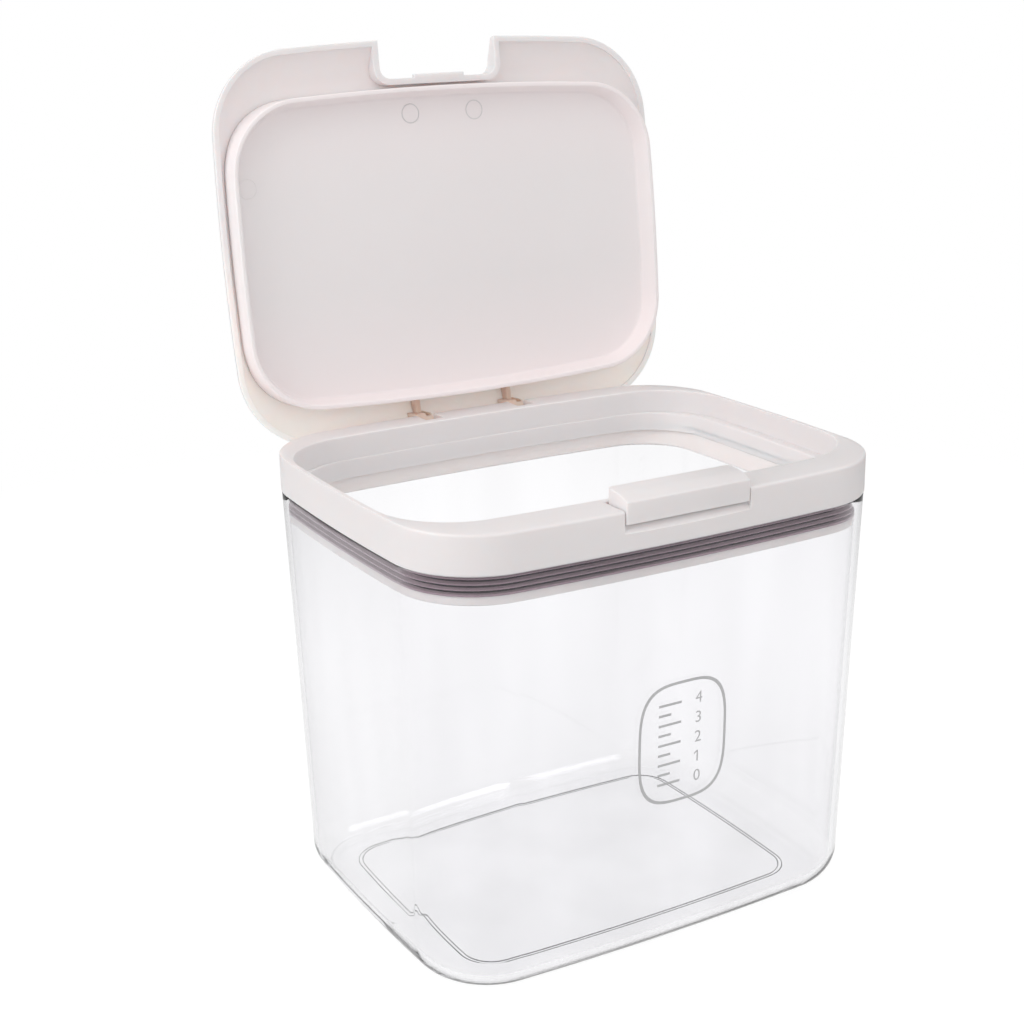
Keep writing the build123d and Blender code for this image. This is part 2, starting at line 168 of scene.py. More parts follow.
# Push button and its slot
BUTTON_WIDTH = 53.2
BUTTON_SIDE_GAP = 0.55
BUTTON_Z = 176.3
BUTTON_HEIGHT = 8.2
BUTTON_DEPTH = 13.0
BUTTON_SLOPE = 4.5
BUTTON_RISE = 2.0
BUTTON_BACK_RISE = 0.7
BUTTON_BEND = 2.5
BUTTON_CORNER_R = 2.0
BUTTON_WALL = 2.0
BUTTON_ROOF = 7.3
BUTTON_BACK_GAP = 0.8
BUTTON_TRAVEL_GAP = 3.5
SPRING_R = 2.0
SPRING_WIRE = 0.5
SPRING_SPACING = 24.0
SPRING_INSET = 4.6
SPRING_SEAT_RISE = 0.6
SPRING_TURNS = 7
SLOT_SLOPE = 2.6
SLOT_SLOPE_RISE = 2.8
HOOK_HALF = 10.0
HOOK_CATCH = 0.6
HOOK_TIP = 0.8
HOOK_HEIGHT = 2.6
HOOK_LIFT = 0.5

# Litre scale printed on the front wall, inside a rounded outline
BADGE_X = -0.1
BADGE_Z = 87.6
BADGE_WIDTH = 39.4
BADGE_HEIGHT = 49.0
BADGE_POWER = 3.4
BADGE_LINE = 1.15
PRINT_PROUD = 0.05
SCALE_DROP = 16.0
SCALE_STEP = 4.0
SCALE_TICKS = 9
TICK_X = -11.0
TICK_LONG = 10.0
TICK_SHORT = 5.5
TICK_LINE = 1.0
NUMERAL_X = 6.8
NUMERAL_SIZE = 6.6
FLAG_REACH = 1.2
FLAG_ROOT = 0.7
FLAG_TIP = (0.9, 1.5)

# Round marks on the inner lid's panel: their places, and the radius and rise of their rings
MARKS_AT = ((-15.0, -51.8), (15.0, -51.8), (-89.5, -26.5))
MARK_RINGS = ((4.1, 0.03), (3.95, -0.08), (3.75, -0.08), (3.6, 0.03))
MARK_STEPS = 48

# Mesh work: steps round curves, the least edge that is kept, the largest share of an edge that a
# soft corner takes, a cutting tool's reach past its cut, and how far in a flat cap's last loop is
FOOT_STEPS = 24
BACK_CORNER_STEPS = 12
BARREL_STEPS = 16
BEND_STEPS = 8
SOFT_STEPS = 4
BADGE_STEPS = 120
SLIVER = 0.01
SOFT_SHARE = 0.48
CUT_PAST = 3.0
CAP_INSET = 12.0

# Clear plastic: its absorption, and the share, depth and level of the rim faces that take a grey
# diffuse face as a painted reflection
GLASS_DENSITY = 15.0
RIM_PAINTED_REFLECTION = 0.75
RIM_DEPTH = 3.0
RIM_LEVEL = 0.4

# Camera fitted to the photograph
CAMERA_AT = (-343.0, -558.1, 361.6)
CAMERA_YAW = 29.574
CAMERA_PITCH = 17.449
CAMERA_ROLL = 1.032
FOCAL_PX = 1733.64
IMAGE_PX = 1024.0
SENSOR_MM = 36.0

# Studio, in metres and watts
AMBIENT = 0.715
HORIZON = (0.6, 0.2)
FLOOR_SIZE = 12.0
FLOOR_Z = -0.0004
FLOOR_SHADE = 0.25
FLOOR_GLOW = 0.825
FLOOR_FADE = (0.3, 0.7)
FLOOR_DIM = (0.3, 0.8)
MIRROR_DIM = 0.85

# Each lamp's name, place, aim, size and power, and the rays that don't meet it
LAMPS = (
    ("key_left", (-1.5, -0.1, 0.8), (0.0, 0.0, 0.15), 1.2, 8.5, ("transmission",)),
    ("fill_lid", (0.05, -0.9, 0.7), (0.0, 0.1, 0.3), 0.3, 0.8, ("glossy", "transmission")),
    ("top_soft", (-0.5, -0.5, 1.5), (0.0, 0.0, 0.2), 1.0, 2.5, ("glossy", "transmission")),
    ("back_soft", (0.1, 1.5, 0.4), (0.0, 0.1, 0.2), 1.2, 7.0, ("glossy", "transmission")),
    ("streak_top", (0.8, -0.42, 1.4), (0.0, 0.07, 0.0), 0.45, 3.0, ("diffuse",)),
)

# Levels and lines that follow from the sizes above
LEDGE_Z = COLLAR_TOP - LEDGE_DROP
LIP_Z = TUB_HEIGHT - LIP_DROP
RING_Z = TUB_HEIGHT - RING_DEPTH
FLANGE_Z = RING_Z + RING_FLANGE
RIM_Z = COLLAR_TOP + LID_GAP
FRONT_Y = -DEPTH / 2
BACK_Y = DEPTH / 2
MOUTH_Y = (FRONT_LAND - BACK_LAND) / 2
NOTCH_Y = FRONT_Y - LID_OVERHANG + NOTCH_DEPTH
TONGUE_Y = NOTCH_Y - TONGUE_REACH
BUTTON_BACK_Y = FRONT_Y + BUTTON_DEPTH

joints = {joint["name"]: joint for joint in frame["joints"]}
HINGE_AT = Vector(joints["lid_hinge"]["pos_m"])
HINGE_Y = HINGE_AT.y / MM
HINGE_Z = HINGE_AT.z / MM
LID_OPEN_DEG = joints["lid_hinge"]["range_deg"][1]

COLLAR_PLAN = (WIDTH / 2, DEPTH / 2, CORNER_R)
MOUTH_PLAN = (WIDTH / 2 - MOUTH_SIDE_WALL, (DEPTH - FRONT_LAND - BACK_LAND) / 2, MOUTH_CORNER_R)


def inset(plan, distance):
    """The plan moved in by one distance all round."""
    return tuple(size - distance for size in plan)


def narrowed(plan, side, end, corner_r):
    """The plan moved in by one distance at its sides and another at its ends."""
    return (plan[0] - side, plan[1] - end, corner_r)


def plan_centres(plan):
    """The centres of a plan's right side, back side and back right corner."""
    half_x, half_y, corner_r = plan
    side = Vector((half_x - BOW_SIDE_R, 0.0))
    back = Vector((0.0, half_y - BOW_FRONT_R))
    side_reach = BOW_SIDE_R - corner_r
    back_reach = BOW_FRONT_R - corner_r
    between = side - back
    span = between.length
    along = (back_reach**2 - side_reach**2 + span**2) / (2 * span)
    across = math.sqrt(back_reach**2 - along**2)
    unit = between.normalized()
    corner = back + unit * along + Vector((-unit.y, unit.x)) * across
    if corner.x < 0:
        corner = back + unit * along - Vector((-unit.y, unit.x)) * across
    return side, back, corner


def outline(plan):
    """Points round a plan, anticlockwise from the right side."""
    corner_r = plan[2]
    side, back, corner = plan_centres(plan)
    low = math.atan2(corner.y - side.y, corner.x - side.x)
    high = math.atan2(corner.y - back.y, corner.x - back.x)
    arcs = [(side, BOW_SIDE_R, -low, low, SIDE_STEPS), (corner, corner_r, low, high, CORNER_STEPS),
            (back, BOW_FRONT_R, high, math.pi - high, SIDE_STEPS),
            (Vector((-corner.x, corner.y)), corner_r, math.pi - high, math.pi - low, CORNER_STEPS)]
    points = []
    for centre, radius, start, end, steps in arcs:
        for index in range(steps):
            angle = start + (end - start) * index / steps
            points.append(centre + Vector((math.cos(angle), math.sin(angle))) * radius)
    return points + [-point for point in points]


def softened(profile, closed):
    """The profile as (plan, centre_y, z) levels, with a short curve at each that has a radius."""
    def flat(level):
        plan, centre_y, z = level[:3]
        return Vector((plan[0], plan[1], plan[2], centre_y, z))

    levels = []
    count = len(profile)
    for index, level in enumerate(profile):
        here = flat(level)
        radius = level[3]
        at_end = not closed and index in (0, count - 1)
        if radius == 0 or at_end:
            levels.append(here)
            continue
        before = flat(profile[index - 1]) - here
        after = flat(profile[(index + 1) % count]) - here
        ways = []
        for way in (before, after):
            length = math.hypot(max(abs(way[0]), abs(way[1])), way[4])
            ways.append(way * min(radius / length, SOFT_SHARE))
        for step in range(SOFT_STEPS + 1):
            t = step / SOFT_STEPS
            levels.append(here + ways[0] * (1 - t)**2 + ways[1] * t**2)
    return [((v[0], v[1], v[2]), v[3], v[4]) for v in levels]


def mesh_object(name, verts, faces):
    """A smooth-shaded object from millimetre points, with outward normals."""
    mesh = bpy.data.meshes.new(name)
    mesh.from_pydata([Vector(v) * MM for v in verts], [], faces)
    mesh.update()
    obj = bpy.data.objects.new(name, mesh)
    bpy.context.scene.collection.objects.link(obj)
    tidy_normals(obj)
    return obj


def tidy_normals(obj, sharp_deg=32.0):
    """Outward normals, smooth faces, and sharp edges where the surface turns hard."""
    work = bmesh.new()
    work.from_mesh(obj.data)
    bmesh.ops.recalc_face_normals(work, faces=work.faces)
    limit = math.radians(sharp_deg)
    for face in work.faces:
        face.smooth = True
    for edge in work.edges:
        edge.smooth = len(edge.link_faces) == 2 and edge.calc_face_angle(0.0) < limit
    work.to_mesh(obj.data)
    work.free()


def ring_faces(rings, size, closed=False):
    """The faces between rings of size points, and from the last back to the first where closed."""
    faces = []
    for ring in range(rings if closed else rings - 1):
        low = ring * size
        high = (ring + 1) % rings * size
        for index in range(size):
            after = (index + 1) % size
            faces.append((low + index, low + after, high + after, high + index))
    return faces


def caps(rings, size):
    """The faces that close the first and the last ring."""
    return [tuple(range(size)), tuple(range((rings - 1) * size, rings * size))]


def lofted(name, levels, closed=False, lift=None):
    """A body through a ring of points at each (plan, centre_y, z) level."""
    rings = []
    for plan, centre_y, z in levels:
        ring = [(p.x, p.y + centre_y, z) for p in outline(plan)]
        if lift:
            ring = [lift(point) for point in ring]
        rings.append(ring)
    verts = [point for ring in rings for point in ring]
    count, size = len(rings), len(rings[0])
    faces = ring_faces(count, size, closed)
    if not closed:
        faces += caps(count, size)
    return mesh_object(name, verts, faces)


def prism(name, low, high):
    """A body between two loops of as many points."""
    count = len(low)
    return mesh_object(name, low + high, caps(2, count) + ring_faces(2, count))


def extruded(name, points, x_low, x_high):
    """A polygon of (y, z) points extruded along X."""
    return prism(name, *([(x, y, z) for y, z in points] for x in (x_low, x_high)))


def upright(name, loop, low, high):
    """An (x, y) outline extruded from one height to another."""
    return prism(name, *([(x, y, z) for x, y in loop] for z in (low, high)))


def on_circle(x, y, radius, angle):
    """A point on a circle."""
    return (x + radius * math.cos(angle), y + radius * math.sin(angle))


def corners(left, low, right, high):
    """The four corners of a rectangle."""
    return [(left, low), (right, low), (right, high), (left, high)]


def applied(obj):
    """The object with its modifiers made real."""
    bpy.context.view_layer.update()
    evaluated = obj.evaluated_get(bpy.context.evaluated_depsgraph_get())
    mesh = bpy.data.meshes.new_from_object(evaluated)
    obj.modifiers.clear()
    obj.data = mesh
    return obj


def carved(obj, tool, operation="DIFFERENCE"):
    """The object after a boolean with a tool, which is then removed."""
    modifier = obj.modifiers.new("carve", "BOOLEAN")
    modifier.operation = operation
    modifier.object = tool
    modifier.solver = "EXACT"
    applied(obj)
    bpy.data.objects.remove(tool)
    tidy_normals(obj)
    return obj


def bevelled(obj, width, segments=3, angle_deg=35.0):
    """The object with its hard edges rounded."""
    modifier = obj.modifiers.new("bevel", "BEVEL")
    modifier.width = width * MM
    modifier.segments = segments
    modifier.limit_method = "ANGLE"
    modifier.angle_limit = math.radians(angle_deg)
    applied(obj)
    tidy_normals(obj, 40.0)
    return obj


def opened(obj):
    """The closed lid's piece turned up to the open rest pose."""
    turn = Matrix.Rotation(-math.radians(LID_OPEN_DEG), 4, "X")
    obj.data.transform(Matrix.Translation(HINGE_AT) @ turn @ Matrix.Translation(-HINGE_AT))
    obj.data.update()
    return obj


def node_tree(material):
    """The material's nodes, links and main shader."""
    material.use_nodes = True
    tree = material.node_tree
    return tree.nodes, tree.links, tree.nodes["Principled BSDF"]


def maths(nodes, links, operation, first, second=0.0):
    """The result of a sum on two sockets or numbers."""
    node = nodes.new("ShaderNodeMath")
    node.operation = operation
    for index, value in enumerate((first, second)):
        if isinstance(value, (int, float)):
            node.inputs[index].default_value = value
        else:
            links.new(value, node.inputs[index])
    return node.outputs[0]


def upward(nodes, links, vector):
    """The Z part of a vector."""
    node = nodes.new("ShaderNodeSeparateXYZ")
    links.new(vector, node.inputs[0])
    return node.outputs["Z"]


def mapped(nodes, links, value, start, end, low=0.0, high=1.0, clamp=True):
    """A value carried from the range start to end over to the range low to high."""
    node = nodes.new("ShaderNodeMapRange")
    node.clamp = clamp
    for name, limit in (("From Min", start), ("From Max", end), ("To Min", low), ("To Max", high)):
        node.inputs[name].default_value = limit
    links.new(value, node.inputs["Value"])
    return node.outputs["Result"]


def ramped(nodes, links, value, stops):
    """The colour of a value on a ramp through rising (position, colour) stops."""
    node = nodes.new("ShaderNodeValToRGB")
    elements = node.color_ramp.elements
    for index, (position, colour) in enumerate(stops):
        stop = elements[index] if index < 2 else elements.new(position)
        stop.position = position
        stop.color = (*colour, 1.0)
    links.new(value, node.inputs["Fac"])
    return node.outputs["Color"]


def mixed(nodes, links, share, first, second, blend="MIX"):
    """A mix of two colours by a share, where each is a socket or plain numbers."""
    node = nodes.new("ShaderNodeMix")
    node.data_type = "RGBA"
    node.blend_type = blend
    for name, value in (("Factor", share), ("A", first), ("B", second)):
        if isinstance(value, float):
            node.inputs[name].default_value = value
        elif isinstance(value, tuple):
            node.inputs[name].default_value = (*value, 1.0)
        else:
            links.new(value, node.inputs[name])
    return node.outputs["Result"]


def blended(nodes, links, share, first, second):
    """A mix of two shaders by a share."""
    node = nodes.new("ShaderNodeMixShader")
    links.new(share, node.inputs["Fac"])
    links.new(first, node.inputs[1])
    links.new(second, node.inputs[2])
    return node.outputs[0]


def cloudy(nodes, links, vector, scale):
    """Noise over a surface."""
    noise = nodes.new("ShaderNodeTexNoise")
    noise.inputs["Scale"].default_value = scale
    links.new(vector, noise.inputs["Vector"])
    return noise.outputs["Fac"]


def grain(material, scale, distance, strength):
    """Fine moulded texture on a material's surface."""
    nodes, links, shader = node_tree(material)
    place = nodes.new("ShaderNodeTexCoord")
    bump = nodes.new("ShaderNodeBump")
    bump.inputs["Strength"].default_value = strength
    bump.inputs["Distance"].default_value = distance
    links.new(cloudy(nodes, links, place.outputs["Object"], scale), bump.inputs["Height"])
    links.new(bump.outputs["Normal"], shader.inputs["Normal"])


def mottled(material, low, high, scale):
    """A faint drift of colour over a material."""
    nodes, links, shader = node_tree(material)
    place = nodes.new("ShaderNodeTexCoord")
    drift = cloudy(nodes, links, place.outputs["Object"], scale)
    links.new(ramped(nodes, links, drift, ((0.35, low), (0.65, high))), shader.inputs["Base Color"])


def white_plastic(name, low, high, roughness, glow=0.6, reach=0.0025):
    """Warm white moulded plastic that glows a little where it is thin."""
    material = bpy.data.materials.new(name)
    shader = node_tree(material)[2]
    mottled(material, low, high, 12.0)
    grain(material, 900.0, 0.00002, 0.25)
    shader.inputs["Roughness"].default_value = roughness
    shader.inputs["IOR"].default_value = 1.46
    shader.inputs["Subsurface Weight"].default_value = glow
    shader.inputs["Subsurface Radius"].default_value = (1.0, 0.84, 0.78)
    shader.inputs["Subsurface Scale"].default_value = reach
    return material


def warmed(material, colour, heights, away, turns):
    """Painted glow: mixes a warmer colour in past a height, on the faces that turn from the
    direction away, in place of light that shines through the plastic.
    """
    nodes, links, shader = node_tree(material)
    base = shader.inputs["Base Color"].links[0].from_socket
    place = nodes.new("ShaderNodeTexCoord")
    turned = nodes.new("ShaderNodeVectorMath")
    turned.operation = "DOT_PRODUCT"
    turned.inputs[1].default_value = away
    links.new(place.outputs["Normal"], turned.inputs[0])
    height = upward(nodes, links, place.outputs["Object"])
    past = mapped(nodes, links, height, *heights)
    facing = mapped(nodes, links, turned.outputs["Value"], *turns)
    share = maths(nodes, links, "MULTIPLY", past, facing)
    links.new(mixed(nodes, links, share, base, colour), shader.inputs["Base Color"])


def clear_plastic():
    """Clear polished plastic with real refraction, painted shade at grazing edges, in soft upright
    streaks and towards the bottom, and a grey diffuse painted reflection on the rim's top.
    """
    material = bpy.data.materials.new("clear_plastic_wall")
    nodes, links, shader = node_tree(material)
    place = nodes.new("ShaderNodeTexCoord")
    surface = nodes.new("ShaderNodeNewGeometry")
    height = upward(nodes, links, place.outputs["Object"])
    level = maths(nodes, links, "ABSOLUTE", upward(nodes, links, surface.outputs["Normal"]))
    # Painted edge shade: the colour darkens where the walls are seen at a slant, and flat faces
    # keep a light tint.
    facing = nodes.new("ShaderNodeLayerWeight")
    facing.inputs["Blend"].default_value = 0.5
    stops = ((0.25, 0.986), (0.53, 0.95), (0.66, 0.90), (0.77, 0.64), (0.87, 0.60), (0.94, 0.96))
    stops = [(position, (tone, tone * 0.997, tone * 1.008)) for position, tone in stops]
    edge = ramped(nodes, links, facing.outputs["Facing"], stops)
    painted_edge_shade = mixed(nodes, links, level, edge, (0.975, 0.973, 0.982))
    # Painted shade: soft upright grey streaks, and a slight darkening towards the bottom.
    tall = nodes.new("ShaderNodeMapping")
    tall.inputs["Scale"].default_value = (6.0, 6.0, 1.0)
    links.new(place.outputs["Object"], tall.inputs["Vector"])
    noise = cloudy(nodes, links, tall.outputs["Vector"], 4.0)
    painted_streak_shade = mapped(nodes, links, noise, 0.36, 0.64, 0.955)
    low = mapped(nodes, links, height, 0.0, 0.09, 0.985)
    painted_shade = maths(nodes, links, "MULTIPLY", painted_streak_shade, low)
    links.new(mixed(nodes, links, 1.0, painted_edge_shade, painted_shade, "MULTIPLY"), shader.inputs["Base Color"])
    shader.inputs["Roughness"].default_value = 0.0
    shader.inputs["IOR"].default_value = 1.5
    shader.inputs["Transmission Weight"].default_value = 1.0
    shader.inputs["Specular Tint"].default_value = (0.8, 0.8, 0.82, 1.0)
    out = nodes["Material Output"]
    absorb = nodes.new("ShaderNodeVolumeAbsorption")
    absorb.inputs["Color"].default_value = (0.5, 0.505, 0.54, 1.0)
    absorb.inputs["Density"].default_value = GLASS_DENSITY
    links.new(absorb.outputs["Volume"], out.inputs["Volume"])
    # Painted reflection: seen from outside, the rim's flat top faces partly take a grey diffuse
    # face in place of the white that they mirror.
    flat = maths(nodes, links, "GREATER_THAN", level, RIM_LEVEL)
    top = maths(nodes, links, "GREATER_THAN", height, (TUB_HEIGHT - RIM_DEPTH) * MM)
    outside = maths(nodes, links, "SUBTRACT", RIM_PAINTED_REFLECTION, surface.outputs["Backfacing"])
    share = maths(nodes, links, "MULTIPLY", maths(nodes, links, "MULTIPLY", flat, top), outside)
    painted_rim_reflection = nodes.new("ShaderNodeBsdfDiffuse")
    painted_rim_reflection.inputs["Color"].default_value = (0.86, 0.86, 0.87, 1.0)
    rim = blended(nodes, links, share, shader.outputs[0], painted_rim_reflection.outputs[0])
    path = nodes.new("ShaderNodeLightPath")
    shade = nodes.new("ShaderNodeBsdfTransparent")
    shade.inputs["Color"].default_value = (0.95, 0.95, 0.955, 1.0)
    whole = blended(nodes, links, path.outputs["Is Shadow Ray"], rim, shade.outputs[0])
    links.new(whole, out.inputs["Surface"])
    return material


def seal_rubber():
    """Mauve-grey flexible plastic, with a pale painted highlight on the ribs, dark painted shade in
    the grooves, and a paler painted sheen where it is seen at a slant.
    """
    material = bpy.data.materials.new("seal_rubber")
    nodes, links, shader = node_tree(material)
    grain(material, 300.0, 0.00001, 0.2)
    place = nodes.new("ShaderNodeTexCoord")
    height = upward(nodes, links, place.outputs["Object"])
    # Painted highlight and shade: the colour repeats with each rib, pale mauve on the ribs and near
    # black in the grooves between them.
    first_rib = TUB_HEIGHT - SEAL_TOP_GAP - SEAL_RIB_DROP
    second_rib = first_rib - SEAL_RIB_PITCH
    ribs = mapped(nodes, links, height, first_rib * MM, second_rib * MM, clamp=False)
    painted_rib_highlight = (0.42, 0.30, 0.35)
    groove = (0.016, 0.006, 0.011)
    stops = ((0.36, painted_rib_highlight), (0.52, groove), (0.94, groove), (1.0, painted_rib_highlight))
    tone = ramped(nodes, links, maths(nodes, links, "FRACT", ribs), stops)
    # Painted sheen: a paler mauve where the seal is seen at a slant.
    facing = nodes.new("ShaderNodeLayerWeight")
    painted_slant_sheen = mapped(nodes, links, facing.outputs["Facing"], 0.35, 0.75, 0.0, 0.8)
    links.new(mixed(nodes, links, painted_slant_sheen, tone, (0.62, 0.53, 0.57)), shader.inputs["Base Color"])
    shader.inputs["Roughness"].default_value = 0.3
    shader.inputs["Specular IOR Level"].default_value = 0.25
    return material


def steel():
    """Bright drawn steel for the pins and springs."""
    material = bpy.data.materials.new("drawn_steel")
    shader = node_tree(material)[2]
    mottled(material, (0.55, 0.55, 0.56), (0.66, 0.66, 0.67), 80.0)
    grain(material, 700.0, 0.00002, 0.3)
    shader.inputs["Metallic"].default_value = 1.0
    shader.inputs["Roughness"].default_value = 0.28
    return material


def print_ink():
    """Grey screen-printed ink."""
    material = bpy.data.materials.new("grey_print")
    shader = node_tree(material)[2]
    mottled(material, (0.50, 0.50, 0.505), (0.53, 0.53, 0.535), 60.0)
    grain(material, 1200.0, 0.00001, 0.2)
    shader.inputs["Roughness"].default_value = 0.55
    return material


WHITE = white_plastic("warm_white_plastic", (0.80, 0.768, 0.768), (0.82, 0.786, 0.786),
                      0.38, 0.8, 0.0015)
# The lid cover's plastic, with a peach painted glow on its inner faces low down near the hinge, in
# place of light that shines through it.
THIN_WHITE_PAINTED_GLOW = white_plastic("thin_white_plastic_painted_glow", (0.785, 0.767, 0.77), (0.805, 0.785, 0.788),
                           0.38, 1.0, 0.0028)
warmed(THIN_WHITE_PAINTED_GLOW, (0.99, 0.905, 0.87), (0.265, 0.200), (0, 1, 0), (-0.05, -0.45))
# The hinge arms' plastic: a warmer base and an orange painted glow below a height, on faces that
# turn from the back and underside, in place of light seen through the plastic.
ARM_WHITE_PAINTED_GLOW = white_plastic("arm_white_plastic_painted_glow", (0.80, 0.755, 0.74), (0.82, 0.775, 0.76),
                          0.38, 1.0, 0.002)
warmed(ARM_WHITE_PAINTED_GLOW, (0.83, 0.68, 0.58), (0.30, 0.25), (0, 1, -1), (0.6, 0.3))
# The inner lid's plastic, brighter than the other white plastic as painted light, with a paler
# painted glow in a band near the top and near the bottom of the open panel.
PANEL_WHITE_PAINTED_LIGHT = white_plastic("panel_white_plastic_painted_light", (0.885, 0.835, 0.835), (0.90, 0.85, 0.85),
                            0.42, 0.2)
for edge in ((0.275, 0.325), (0.235, 0.195)):
    warmed(PANEL_WHITE_PAINTED_LIGHT, (0.955, 0.865, 0.865), edge, (0, 1, 0), (0.5, 0.2))
# The retaining ring's pale plastic, made brighter still as painted light to make up for the shade
# in its narrow gap behind the clear wall.
RING_WHITE_PAINTED_LIGHT = white_plastic("pale_ring_plastic_painted_light", (0.91, 0.85, 0.835), (0.93, 0.87, 0.855), 0.40)
# A darker white plastic for the moulding marks: painted shade that stands in for the shade in their
# faint rings.
MARK_PAINTED_SHADE = white_plastic("white_plastic_painted_shade", (0.78, 0.737, 0.737), (0.81, 0.765, 0.765), 0.5)
CLEAR = clear_plastic()
SEAL = seal_rubber()
STEEL = steel()
INK = print_ink()


def dressed(obj, material, body, slot, *replaced):
    """Gives a piece its material and body, and hides the nodes that it stands for."""
    obj.data.materials.clear()
    obj.data.materials.append(material)
    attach(obj, body)
    if replaced:
        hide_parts(*replaced)
    return obj


def tub_plan(z, wall=0.0):
    """The tub's outside at a height, or its inside where a wall is given."""
    share = z / TUB_HEIGHT
    lean = TUB_TAPER * (1 - share) + TUB_STEP_IN + wall
    corner_r = TUB_FOOT_CORNER_R + (CORNER_R - TUB_STEP_IN - TUB_FOOT_CORNER_R) * share - wall
    return narrowed(COLLAR_PLAN, lean, lean, corner_r)


def foot_levels(floor_z, wall, radius):
    """The round foot edge, from the floor up to the wall."""
    levels = []
    for step in range(FOOT_STEPS + 1):
        angle = math.pi / 2 * step / FOOT_STEPS
        z = floor_z + radius * (1 - math.cos(angle))
        levels.append((inset(tub_plan(z, wall), radius * (1 - math.sin(angle))), 0.0, z))
    return levels


def groove_jog(point):
    """Widens the base groove's outline round its back left corner."""
    x, y, z = point
    if z > GROOVE_DEPTH + 0.01 or x > GROOVE_JOG_X or y < GROOVE_JOG_Y:
        return point
    length = math.hypot(x, y)
    grow = 1.0 + GROOVE_JOG / length
    return (x * grow, y * grow, z)


def build_tub():
    """The clear box, outside and inside in one closed skin."""
    groove = narrowed(tub_plan(0), GROOVE_INSET, GROOVE_INSET, GROOVE_CORNER_R)
    inner_groove = inset(groove, GROOVE_WIDTH)
    levels = [(inset(inner_groove, 8.0), 0.0, 0.0)]
    levels += softened([(inset(inner_groove, 2.0), 0.0, 0.0, 0),
                        (inner_groove, 0.0, 0.0, GROOVE_EDGE_R),
                        (inset(inner_groove, -GROOVE_DRAFT), 0.0, GROOVE_DEPTH, GROOVE_EDGE_R),
                        (inset(groove, GROOVE_DRAFT), 0.0, GROOVE_DEPTH, GROOVE_EDGE_R),
                        (groove, 0.0, 0.0, GROOVE_EDGE_R),
                        (inset(groove, -1.5), 0.0, 0.0, 0)], False)
    levels += foot_levels(0.0, 0.0, TUB_FOOT_R)
    below = TUB_HEIGHT - TUB_RIM_BAND
    rim = [(tub_plan(below), 0.0, below, 0), (tub_plan(TUB_HEIGHT), 0.0, TUB_HEIGHT, TUB_RIM_R),
           (tub_plan(TUB_HEIGHT, TUB_WALL), 0.0, TUB_HEIGHT, TUB_RIM_R),
           (tub_plan(below, TUB_WALL), 0.0, below, 0)]
    levels += softened(rim, False)
    inside = foot_levels(TUB_FLOOR, TUB_WALL, TUB_FOOT_R - TUB_WALL)
    levels += reversed(inside)
    levels.append((inset(inside[0][0], CAP_INSET), 0.0, TUB_FLOOR))
    return lofted("tub_clear_wall", levels, lift=groove_jog)


def ledge_plan():
    """The inner edge of the ledge round the collar's mouth."""
    return narrowed(inset(MOUTH_PLAN, MOUTH_DRAFT), LEDGE_SIDE, LEDGE_END, LEDGE_CORNER_R)


def neck_plan():
    """The collar's narrowest passage."""
    return narrowed(ledge_plan(), NECK_SIDE, NECK_END, NECK_CORNER_R)


def hinge_centres():
    """The middle of each hinge arm along X."""
    return (-HINGE_SPACING / 2, HINGE_SPACING / 2)


def build_collar():
    """The collar with its funnel mouth, button slot and hinge slots."""
    lip = inset(neck_plan(), -LIP_WALL)
    profile = [(COLLAR_PLAN, 0.0, TUB_HEIGHT, 0.4), (COLLAR_PLAN, 0.0, COLLAR_TOP, COLLAR_EDGE_R),
               (MOUTH_PLAN, MOUTH_Y, COLLAR_TOP, 0.6),
               (inset(MOUTH_PLAN, MOUTH_DRAFT), MOUTH_Y, LEDGE_Z, 0.3),
               (ledge_plan(), MOUTH_Y, LEDGE_Z, 0.8), (neck_plan(), MOUTH_Y, LIP_Z, 0.1),
               (lip, MOUTH_Y, LIP_Z, 0.1), (lip, MOUTH_Y, TUB_HEIGHT, 0)]
    collar = lofted("collar_body", softened(profile, True), closed=True)
    slot_half = BUTTON_WIDTH / 2 + BUTTON_SIDE_GAP
    slot_z = BUTTON_Z - BUTTON_TRAVEL_GAP
    floor_z = slot_z + SLOT_SLOPE_RISE
    back = BUTTON_BACK_Y + BUTTON_BACK_GAP
    before = FRONT_Y - CUT_PAST
    over = COLLAR_TOP + CUT_PAST
    points = [(before, slot_z), (FRONT_Y, slot_z), (FRONT_Y + SLOT_SLOPE, floor_z), (back, floor_z)]
    points += [(back, over), (before, over)]
    carved(collar, extruded("slot_tool", points, -slot_half, slot_half))
    arm_half = ARM_WIDTH / 2 + ARM_SIDE_GAP
    front = BACK_Y - HINGE_SLOT_DEPTH
    low = COLLAR_TOP - HINGE_SLOT_DROP
    points = corners(front, low, BACK_Y + CUT_PAST, over)
    for centre in hinge_centres():
        carved(collar, extruded("hinge_tool", points, centre - arm_half, centre + arm_half))
    return collar


def ring_plan():
    """The retaining ring's flange."""
    return inset(tub_plan(RING_Z, TUB_WALL), RING_TUB_GAP)


